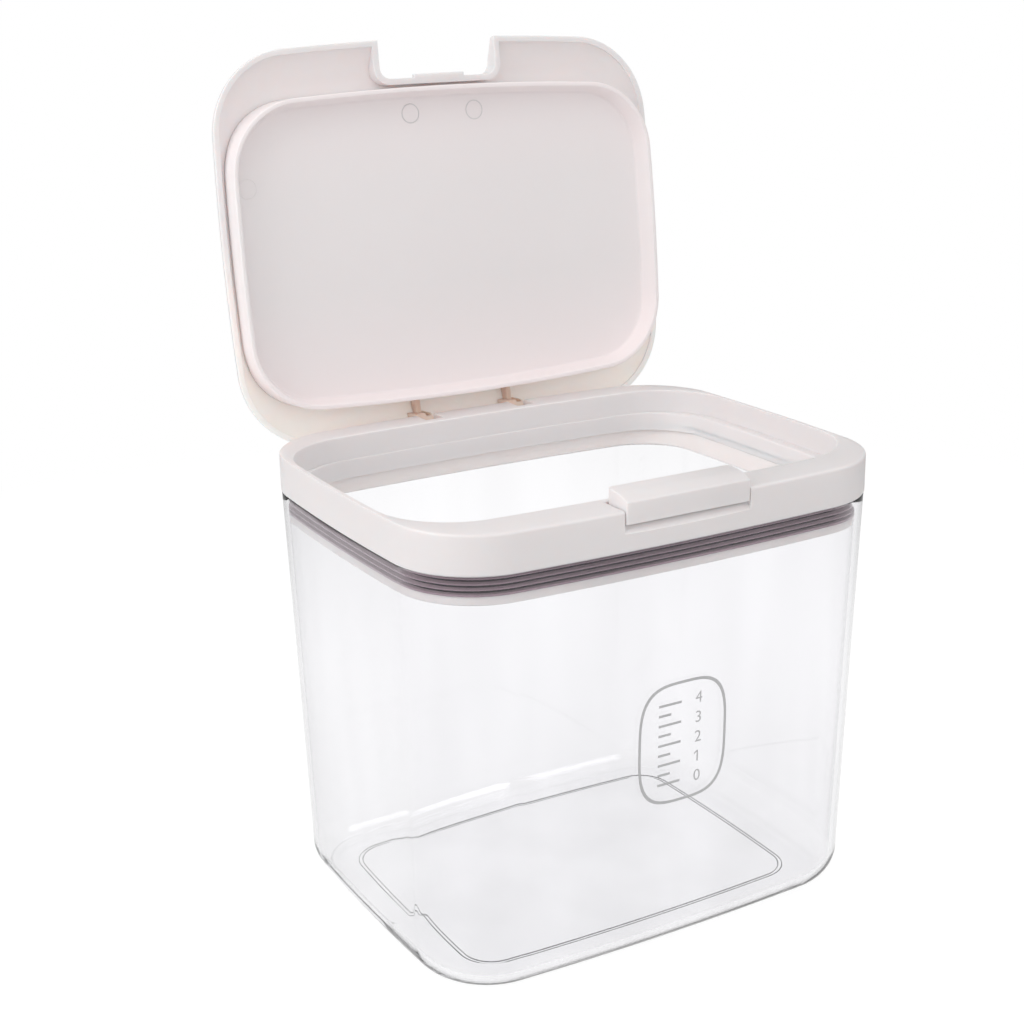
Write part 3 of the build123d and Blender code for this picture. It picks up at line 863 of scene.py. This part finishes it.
def build_ring():
    """The pale ring that carries the seal."""
    flange = ring_plan()
    neck = inset(flange, RING_NECK_INSET)
    opening = narrowed(flange, RING_OPENING_SIDE, RING_OPENING_END, RING_OPENING_CORNER_R)
    wide_opening = narrowed(opening, -RING_OPENING_DRAFT, 0, RING_OPENING_CORNER_R)
    top = TUB_HEIGHT - RING_TOP_GAP
    plate_z = TUB_HEIGHT - RING_TOP_PLATE + RING_PLATE_GAP
    lip = inset(neck_plan(), -LIP_WALL - RING_LIP_GAP)
    profile = [(opening, 0.0, RING_Z + RING_OPENING_RISE, 0.6),
               (inset(flange, RING_SKIRT), 0.0, RING_Z, 0.4), (flange, 0.0, RING_Z, 0.6),
               (flange, 0.0, FLANGE_Z, 0.3), (neck, 0.0, FLANGE_Z, 0),
               (neck, 0.0, top, 0), (lip, MOUTH_Y, top, 0), (lip, MOUTH_Y, plate_z, 0),
               (wide_opening, 0.0, plate_z, 0.05)]
    return lofted("retaining_ring_body", softened(profile, True), closed=True)


def build_seal():
    """The flexible seal with rounded ribs."""
    neck = inset(ring_plan(), RING_NECK_INSET - SEAL_FIT)
    band = inset(neck, -SEAL_BODY)
    reach = inset(tub_plan(FLANGE_Z, TUB_WALL), SEAL_TUB_GAP)
    top = TUB_HEIGHT - SEAL_TOP_GAP
    foot = FLANGE_Z + SEAL_FOOT
    profile = [(neck, 0.0, FLANGE_Z, 0), (reach, 0.0, FLANGE_Z, 0.1), (reach, 0.0, foot, 0.25),
               (band, 0.0, foot + 0.1, 0.1)]
    for index in reversed(range(SEAL_RIBS)):
        rib_top = top - SEAL_RIB_DROP - index * SEAL_RIB_PITCH
        profile += [(band, 0.0, rib_top - SEAL_RIB - 0.1, 0.1),
                    (reach, 0.0, rib_top - SEAL_RIB * 0.8, 0.25),
                    (reach, 0.0, rib_top - SEAL_RIB * 0.2, 0.25), (band, 0.0, rib_top, 0.1)]
    profile += [(band, 0.0, top, 0.2), (neck, 0.0, top, 0)]
    return lofted("seal_ribs", softened(profile, True), closed=True)


def lid_plan():
    """The lid's rim."""
    return inset(COLLAR_PLAN, -LID_OVERHANG)


def rounded_back(half, back, radius, front):
    """The (x, y) outline of a block whose two back corners are round."""
    points = [(-half, front)]
    for side, start in ((-1, math.pi), (1, math.pi / 2)):
        for step in range(BACK_CORNER_STEPS + 1):
            angle = start - math.pi / 2 * step / BACK_CORNER_STEPS
            points.append(on_circle(side * (half - radius), back - radius, radius, angle))
    return points + [(half, front)]


def notch_tool(name, margin, low, high):
    """The upright body of the front notch, widened by a margin."""
    front = FRONT_Y - 2 * CUT_PAST
    loop = rounded_back(NOTCH_HALF + margin, NOTCH_Y + margin, NOTCH_CORNER_R + margin, front)
    return upright(name, loop, low, high)


def lid_top_levels():
    """The lid cover's outer levels, from its rim up to its flat top."""
    plan = lid_plan()
    return [(plan, 0.0, RIM_Z, 0.4), (inset(plan, LID_EDGE_LEAN), 0.0, RIM_Z + LID_EDGE, 1.2),
            (inset(plan, LID_SHOULDER_INSET), 0.0, RIM_Z + LID_SHOULDER_RISE, 2.5),
            (inset(plan, LID_CROWN_INSET), 0.0, RIM_Z + LID_CROWN_RISE, 2.5),
            (inset(plan, LID_CROWN_INSET + CAP_INSET), 0.0, RIM_Z + LID_CROWN_RISE, 0)]


def lid_floor_levels():
    """The levels of the space under the lid cover, from its flat ceiling down to the rim."""
    plan = lid_plan()
    return [(inset(plan, LID_CROWN_INSET + CAP_INSET), 0.0, RIM_Z + LID_CROWN_RISE - LID_SKIN, 0),
            (inset(plan, LID_CROWN_INSET), 0.0, RIM_Z + LID_CROWN_RISE - LID_SKIN, 2.0),
            (inset(plan, LID_SHOULDER_INSET), 0.0, RIM_Z + LID_SHOULDER_RISE - LID_SKIN, 2.0),
            (inset(plan, LID_LIP), 0.0, RIM_Z + LID_LIP_DEPTH, 0.25),
            (inset(plan, LID_LIP), 0.0, RIM_Z, 0.3)]


def without_slivers(obj):
    """Dissolves the flat slivers that a union leaves in a shape."""
    work = bmesh.new()
    work.from_mesh(obj.data)
    bmesh.ops.dissolve_degenerate(work, dist=SLIVER * MM, edges=work.edges)
    work.to_mesh(obj.data)
    work.free()
    tidy_normals(obj)


def build_lid_shell():
    """The lid cover: rim lip, notch with its lip, and catch tongue."""
    outer = softened(lid_floor_levels() + lid_top_levels(), False)
    shell = lofted("lid_cover", outer)
    plug = [(inset(lid_plan(), 0.2), 0.0, RIM_Z)] + softened(lid_top_levels(), False)
    band = lofted("notch_band", plug)
    low = RIM_Z - 2 * CUT_PAST
    high = RIM_Z + LID_CROWN_RISE + 2 * CUT_PAST
    carved(band, notch_tool("band_tool", LID_LIP, low, high), "INTERSECT")
    carved(shell, band, "UNION")
    carved(shell, notch_tool("notch_tool", 0.0, low, high))
    points = corners(TONGUE_Y, RIM_Z, NOTCH_Y + LID_LIP / 2, RIM_Z + TONGUE_THICKNESS)
    tongue = extruded("tongue", points, -TONGUE_HALF, TONGUE_HALF)
    carved(shell, bevelled(tongue, 0.3), "UNION")
    without_slivers(shell)
    return opened(shell)


def build_arm(side, centre):
    """One hinge arm with its barrel and rib."""
    x_low = centre - ARM_WIDTH / 2
    x_high = centre + ARM_WIDTH / 2
    front = HINGE_Y - ARM_DEPTH
    back = HINGE_Y + BARREL_R
    skin_front = RIM_Z + LID_SHOULDER_RISE - LID_SKIN * 2 / 3
    skin_back = RIM_Z + LID_EDGE / 2
    points = [(back, skin_back), (front, skin_front), (front, HINGE_Z + BARREL_R)]
    for step in range(BARREL_STEPS + 1):
        angle = math.pi + math.pi * step / BARREL_STEPS
        points.append(on_circle(HINGE_Y, HINGE_Z, BARREL_R, angle))
    arm = extruded(f"hinge_arm_{side}", points, x_low, x_high)
    bevelled(arm, 0.35, 2, 40.0)
    plug_back = BACK_Y - BACK_LAND - PLUG_END_GAP + ARM_RIB_OVERLAP
    rib_top = RIM_Z + LID_CROWN_RISE - LID_SKIN * 2 / 3
    rib_low = RIM_Z + LID_LIP_DEPTH
    rib_back = front + 1
    rib = [(plug_back, rib_top), (plug_back, rib_low), (rib_back, rib_low), (rib_back, skin_front)]
    pocket = corners(front - 1, HINGE_Z + ARM_POCKET_LIFT,
                     front + ARM_POCKET_DEPTH, RIM_Z + ARM_POCKET_RISE)
    carved(arm, extruded("pocket_tool", pocket, centre + ARM_RIB / 2, x_high - ARM_POCKET_WALL))
    carved(arm, extruded("rib_tool", rib, centre - ARM_RIB / 2, centre + ARM_RIB / 2), "UNION")
    return opened(arm)


def depth_inside(plan, x, y):
    """How far a point lies inside a plan's outline."""
    side, back, corner = plan_centres(plan)
    x, y = abs(x), abs(y)
    point = Vector((x, y))
    if x > corner.x and y > corner.y:
        return plan[2] - (point - corner).length
    return min(BOW_SIDE_R - (point - side).length, BOW_FRONT_R - (point - back).length)


def ceiling_z(x, y):
    """The height of the lid cover's ceiling over a point of the closed lid."""
    depth = depth_inside(lid_plan(), x, y)
    stops = [(LID_LIP, LID_LIP_DEPTH), (LID_SHOULDER_INSET, LID_SHOULDER_RISE - LID_SKIN),
             (LID_CROWN_INSET, LID_CROWN_RISE - LID_SKIN)]
    for (near, low), (far, high) in zip(stops, stops[1:]):
        if depth < far:
            return RIM_Z + low + (high - low) * max(depth - near, 0.0) / (far - near)
    return RIM_Z + stops[-1][1]


def plug_foot(point):
    """Brings the foot of the inner lid's wall up to the cover's ceiling."""
    x, y, z = point
    if z < RIM_Z + LID_CROWN_RISE:
        return point
    return (x, y, ceiling_z(x, y) - PLUG_FOOT_GAP)


def build_plug():
    """The inner lid: rim wall, sloped inside and flat panel."""
    plan = narrowed(MOUTH_PLAN, PLUG_SIDE_GAP, PLUG_END_GAP, PLUG_CORNER_R)
    bottom = RIM_Z - PLUG_DROP
    panel_z = RIM_Z - PLUG_PANEL_DEPTH
    inner = inset(plan, PLUG_RIM)
    base = inset(inner, PLUG_DRAFT)
    foot = RIM_Z + LID_CROWN_RISE
    back = panel_z + PLUG_PANEL
    levels = [(inset(plan, 14), MOUTH_Y, back), (inner, MOUTH_Y, back), (inner, MOUTH_Y, foot),
              (plan, MOUTH_Y, foot), (plan, MOUTH_Y, RIM_Z)]
    wall = [(plan, MOUTH_Y, RIM_Z - 2, 0), (plan, MOUTH_Y, bottom, 0.6),
            (inner, MOUTH_Y, bottom, 0.5), (base, MOUTH_Y, panel_z, 1.0),
            (inset(base, CAP_INSET), MOUTH_Y, panel_z, 0)]
    return opened(lofted("inner_lid", levels + softened(wall, False), lift=plug_foot))


def build_button():
    """The push button with its sloped top, open underside and hook."""
    half = BUTTON_WIDTH / 2
    top = BUTTON_Z + BUTTON_HEIGHT
    bend = (FRONT_Y + BUTTON_SLOPE, top + BUTTON_RISE)
    back_z = bend[1] + BUTTON_BACK_RISE
    lean = BUTTON_BACK_RISE / (BUTTON_DEPTH - BUTTON_SLOPE)
    ends = ((FRONT_Y + BUTTON_SLOPE * 0.5, top + BUTTON_RISE * 0.5), bend,
            (bend[0] + BUTTON_BEND, bend[1] + BUTTON_BEND * lean))
    points = [(FRONT_Y, BUTTON_Z), (FRONT_Y, top)]
    for step in range(BEND_STEPS + 1):
        t = step / BEND_STEPS
        weights = ((1 - t)**2, 2 * t * (1 - t), t**2)
        y, z = (sum(weight * end[k] for weight, end in zip(weights, ends)) for k in (0, 1))
        points.append((y, z))
    points += [(BUTTON_BACK_Y, back_z), (BUTTON_BACK_Y, BUTTON_Z)]
    button = extruded("latch_button", points, -half, half)
    low = BUTTON_Z - 1
    loop = rounded_back(half, BUTTON_BACK_Y, BUTTON_CORNER_R, FRONT_Y - 1)
    carved(button, upright("corner_tool", loop, low, back_z + 1), "INTERSECT")
    bevelled(button, 0.45, 3, 30.0)
    wall = BUTTON_WALL
    roof = BUTTON_Z + BUTTON_ROOF
    pocket = corners(FRONT_Y + wall, low, BUTTON_BACK_Y - wall, roof)
    carved(button, extruded("pocket_tool", pocket, wall - half, half - wall))
    hook_z = RIM_Z + TONGUE_THICKNESS + HOOK_LIFT
    tip = TONGUE_Y + HOOK_CATCH
    root = BUTTON_BACK_Y - wall / 2
    hook_top = hook_z + HOOK_HEIGHT
    hook = [(root, hook_z), (tip, hook_z), (tip, hook_z + HOOK_TIP)]
    hook += [(BUTTON_BACK_Y, hook_top), (root, hook_top)]
    carved(button, extruded("hook_tool", hook, -HOOK_HALF, HOOK_HALF), "UNION")
    return button


def front_wall_y(x, z):
    """The tub's front face at a point, with the side's bulge and the wall's lean."""
    half_y = tub_plan(z)[1]
    return -(half_y - BOW_FRONT_R + math.sqrt(BOW_FRONT_R**2 - x**2)) - PRINT_PROUD


def printed(name, loops):
    """A flat print wrapped on the front wall, from quads of (x, z) points."""
    verts = []
    faces = []
    for quad in loops:
        start = len(verts)
        verts += [(x, front_wall_y(x, z), z) for x, z in quad]
        faces.append(tuple(range(start, start + len(quad))))
    return mesh_object(name, verts, faces)


def badge_loop(half_x, half_z):
    """Points round an upright oval with squared shoulders, centred on the badge."""
    points = []
    for step in range(BADGE_STEPS):
        angle = 2 * math.pi * step / BADGE_STEPS
        across = math.cos(angle)
        up = math.sin(angle)
        x = BADGE_X + half_x * math.copysign(abs(across)**(2 / BADGE_POWER), across)
        z = BADGE_Z + half_z * math.copysign(abs(up)**(2 / BADGE_POWER), up)
        points.append((x, z))
    return points


def build_badge():
    """A rounded outline with a plain litre scale."""
    outer = badge_loop(BADGE_WIDTH / 2, BADGE_HEIGHT / 2)
    inner = badge_loop(BADGE_WIDTH / 2 - BADGE_LINE, BADGE_HEIGHT / 2 - BADGE_LINE)
    quads = list(zip(outer, outer[1:] + outer[:1], inner[1:] + inner[:1], inner))
    x = BADGE_X + TICK_X
    for index in range(SCALE_TICKS):
        z = BADGE_Z - SCALE_DROP + index * SCALE_STEP
        reach = TICK_SHORT if index % 2 else TICK_LONG
        quads.append(corners(x, z - TICK_LINE / 2, x + reach, z + TICK_LINE / 2))
    return printed("litre_scale", quads)


def flagged(bar):
    """The numeral one with a flag on its bar."""
    left, right = (pick(vert.co.x for vert in bar.vertices) for pick in (min, max))
    low, top = (pick(vert.co.y for vert in bar.vertices) for pick in (min, max))
    tip = left - FLAG_REACH * MM
    points = [(left, low), (right, low), (right, top), (left, top)]
    points += [(tip, top - fall * MM) for fall in FLAG_TIP] + [(left, top - FLAG_ROOT * MM)]
    mesh = bpy.data.meshes.new("numeral_one")
    mesh.from_pydata([(x, y, 0.0) for x, y in points], [], [tuple(range(len(points)))])
    return mesh


def build_numerals():
    """The plain numbers beside the scale's long ticks."""
    pieces = []
    for index in range((SCALE_TICKS + 1) // 2):
        curve = bpy.data.curves.new(f"numeral_{index}", "FONT")
        curve.body = str(index)
        curve.size = NUMERAL_SIZE * MM
        curve.align_x = "CENTER"
        curve.align_y = "CENTER"
        text = bpy.data.objects.new(f"numeral_{index}", curve)
        bpy.context.scene.collection.objects.link(text)
        bpy.context.view_layer.update()
        mesh = bpy.data.meshes.new_from_object(text)
        bpy.data.objects.remove(text)
        if index == 1:
            mesh = flagged(mesh)
        obj = bpy.data.objects.new(f"scale_number_{index}", mesh)
        bpy.context.scene.collection.objects.link(obj)
        centre_x = BADGE_X + NUMERAL_X
        centre_z = BADGE_Z - SCALE_DROP + index * 2 * SCALE_STEP
        for vert in mesh.vertices:
            x = vert.co.x / MM + centre_x
            z = vert.co.y / MM + centre_z
            vert.co = Vector((x, front_wall_y(x, z), z)) * MM
        pieces.append(obj)
    return pieces


def build_moulding_marks():
    """Faint round moulding marks on the inner lid's panel."""
    marks = []
    for index, (x, y) in enumerate(MARKS_AT):
        verts = []
        for radius, rise in MARK_RINGS:
            for step in range(MARK_STEPS):
                angle = 2 * math.pi * step / MARK_STEPS
                verts.append((*on_circle(x, y, radius, angle), RIM_Z - PLUG_PANEL_DEPTH + rise))
        mark = mesh_object(f"moulding_mark_{index}", verts, ring_faces(len(MARK_RINGS), MARK_STEPS))
        marks.append(opened(mark))
    return marks


def build_coil(side, x):
    """A return spring under the button, with closed end turns."""
    low = BUTTON_Z - BUTTON_TRAVEL_GAP + SPRING_SEAT_RISE
    half = SPRING_WIRE / 2
    free = BUTTON_Z + BUTTON_ROOF - low - 3 * SPRING_WIRE
    y = FRONT_Y + SPRING_INSET
    steps, sides = 24, 8
    rings = SPRING_TURNS * steps + 1
    verts = []
    for step in range(rings):
        turn = step / steps
        climb = min(max((turn - 1) / (SPRING_TURNS - 2), 0), 1)
        closed = min(turn, 1) + max(turn - SPRING_TURNS + 1, 0)
        z = low + half + SPRING_WIRE * closed + free * climb
        angle = 2 * math.pi * turn
        for corner in range(sides):
            bend = 2 * math.pi * corner / sides
            radius = SPRING_R - half + half * math.cos(bend)
            verts.append((*on_circle(x, y, radius, angle), z + half * math.sin(bend)))
    faces = ring_faces(rings, sides) + caps(rings, sides)
    coil = mesh_object(f"coil_spring_{side}", verts, faces)
    dressed(coil, STEEL, "collar", "steel", f"button_spring_{side}")
    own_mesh(coil)


def build_object():
    """Every piece of the object, on its body."""
    dressed(build_tub(), CLEAR, "tub", "clear_plastic", "tub")
    dressed(build_badge(), INK, "tub", "ring_plastic")
    for numeral in build_numerals():
        dressed(numeral, INK, "tub", "ring_plastic")
    dressed(build_collar(), WHITE, "collar", "white_plastic", "collar_shell")
    dressed(build_ring(), RING_WHITE_PAINTED_LIGHT, "collar", "ring_plastic", "retaining_ring")
    dressed(build_seal(), SEAL, "collar", "seal_rubber", "ribbed_seal")
    dressed(build_lid_shell(), THIN_WHITE_PAINTED_GLOW, "lid", "white_plastic", "lid_shell")
    for side, centre in zip(("left", "right"), hinge_centres()):
        dressed(build_arm(side, centre), ARM_WHITE_PAINTED_GLOW, "lid", "white_plastic")
    dressed(build_plug(), PANEL_WHITE_PAINTED_LIGHT, "lid", "white_plastic", "lid_plug")
    # The first two marks take the painted shade plastic, and the third takes the panel's painted
    # light plastic.
    for mark, look in zip(build_moulding_marks(), (MARK_PAINTED_SHADE, MARK_PAINTED_SHADE, PANEL_WHITE_PAINTED_LIGHT)):
        dressed(mark, look, "lid", "white_plastic")
    dressed(build_button(), WHITE, "button", "white_plastic", "push_button")
    build_coil("left", -SPRING_SPACING / 2)
    build_coil("right", SPRING_SPACING / 2)
    for name in ("hinge_pin_left", "hinge_pin_right"):
        materials = frame["nodes"][name].data.materials
        materials.clear()
        materials.append(STEEL)


def area_light(name, at, towards, size, power, unseen):
    """A soft square lamp, which the camera and the unseen kinds of ray don't meet."""
    data = bpy.data.lights.new(name, "AREA")
    data.shape = "SQUARE"
    data.size = size
    data.energy = power
    lamp = bpy.data.objects.new(name, data)
    bpy.context.scene.collection.objects.link(lamp)
    lamp.location = at
    way = Vector(towards) - Vector(at)
    lamp.rotation_euler = way.to_track_quat("-Z", "Y").to_euler()
    for kind in ("camera", *unseen):
        setattr(lamp, f"visible_{kind}", False)


def ray_kinds(nodes, links):
    """1 for rays that see the background, and 1 for those that come off a mirror surface."""
    path = nodes.new("ShaderNodeLightPath").outputs
    seen = maths(nodes, links, "MAXIMUM", path["Is Camera Ray"], path["Is Glossy Ray"])
    seen = maths(nodes, links, "MAXIMUM", seen, path["Is Transmission Ray"])
    through = maths(nodes, links, "SUBTRACT", 1.0, path["Is Transmission Ray"])
    mirrored = maths(nodes, links, "MULTIPLY", path["Is Glossy Ray"], through)
    return seen, mirrored


def dimmed(nodes, links, full, mirrored, value, near, far):
    """A strength that falls off in reflections as a value goes from near to far."""
    fall = mapped(nodes, links, value, near, far, 0.0, MIRROR_DIM)
    loss = maths(nodes, links, "MULTIPLY", fall, mirrored)
    kept = maths(nodes, links, "SUBTRACT", 1.0, loss)
    return maths(nodes, links, "MULTIPLY", kept, full)


def build_world():
    """White to the eye, softer as a light, and dimmer near the horizon in reflections."""
    world = bpy.data.worlds.new("studio")
    bpy.context.scene.world = world
    world.use_nodes = True
    nodes = world.node_tree.nodes
    links = world.node_tree.links
    nodes.clear()
    out = nodes.new("ShaderNodeOutputWorld")
    lit = nodes.new("ShaderNodeBackground")
    lit.inputs["Color"].default_value = (1.0, 1.0, 1.0, 1.0)
    lit.inputs["Strength"].default_value = AMBIENT
    eye = nodes.new("ShaderNodeBackground")
    eye.inputs["Color"].default_value = (1.0, 1.0, 1.0, 1.0)
    place = nodes.new("ShaderNodeTexCoord")
    height = upward(nodes, links, place.outputs["Generated"])
    seen, mirrored = ray_kinds(nodes, links)
    links.new(dimmed(nodes, links, 1.0, mirrored, height, *HORIZON), eye.inputs["Strength"])
    links.new(blended(nodes, links, seen, lit.outputs[0], eye.outputs[0]), out.inputs["Surface"])


def build_floor():
    """Keeps a faint shadow near the part. Further off it is plain white, and dimmer in mirrors."""
    bpy.ops.mesh.primitive_plane_add(size=FLOOR_SIZE, location=(0, 0, FLOOR_Z))
    floor = bpy.context.object
    floor.name = "studio_floor"
    material = bpy.data.materials.new("studio_floor")
    nodes, links, shader = node_tree(material)
    shader.inputs["Base Color"].default_value = (0.8, 0.8, 0.8, 1.0)
    shader.inputs["Roughness"].default_value = 0.9
    shader.inputs["Specular IOR Level"].default_value = 0.0
    eye = nodes.new("ShaderNodeBsdfDiffuse")
    glow = nodes.new("ShaderNodeEmission")
    place = nodes.new("ShaderNodeTexCoord")
    reach = nodes.new("ShaderNodeVectorMath")
    reach.operation = "LENGTH"
    add = nodes.new("ShaderNodeAddShader")
    seen, mirrored = ray_kinds(nodes, links)
    links.new(place.outputs["Object"], reach.inputs[0])
    away = reach.outputs["Value"]
    links.new(mapped(nodes, links, away, *FLOOR_FADE, FLOOR_SHADE, 0.0), eye.inputs["Color"])
    strength = mapped(nodes, links, away, *FLOOR_FADE, FLOOR_GLOW, 1.0)
    links.new(dimmed(nodes, links, strength, mirrored, away, *FLOOR_DIM), glow.inputs["Strength"])
    links.new(eye.outputs[0], add.inputs[0])
    links.new(glow.outputs[0], add.inputs[1])
    surface = blended(nodes, links, seen, shader.outputs[0], add.outputs[0])
    links.new(surface, nodes["Material Output"].inputs["Surface"])
    floor.data.materials.append(material)


def build_camera():
    """The photograph's viewpoint."""
    yaw, pitch, roll = (math.radians(a) for a in (CAMERA_YAW, CAMERA_PITCH, CAMERA_ROLL))
    east, north = math.sin(yaw), math.cos(yaw)
    forward = Vector((east * math.cos(pitch), north * math.cos(pitch), -math.sin(pitch)))
    level = Vector((north, -east, 0.0))
    down = forward.cross(level)
    across = level * math.cos(roll) + down * math.sin(roll)
    below = down * math.cos(roll) - level * math.sin(roll)
    camera_data = bpy.data.cameras.new("camera")
    camera_data.lens = FOCAL_PX / IMAGE_PX * SENSOR_MM
    camera_data.sensor_width = SENSOR_MM
    camera = bpy.data.objects.new("camera", camera_data)
    bpy.context.scene.collection.objects.link(camera)
    turn = Matrix((across, -below, -forward)).transposed().to_4x4()
    camera.matrix_world = Matrix.Translation(Vector(CAMERA_AT) * MM) @ turn
    bpy.context.scene.camera = camera


build_object()
build_world()
build_floor()
build_camera()
for lamp in LAMPS:
    area_light(*lamp)

bpy.context.scene.cycles.max_bounces = 24
bpy.context.scene.cycles.diffuse_bounces = 8
bpy.context.scene.cycles.glossy_bounces = 16
bpy.context.scene.cycles.transmission_bounces = 24
bpy.context.scene.view_settings.view_transform = "Standard"
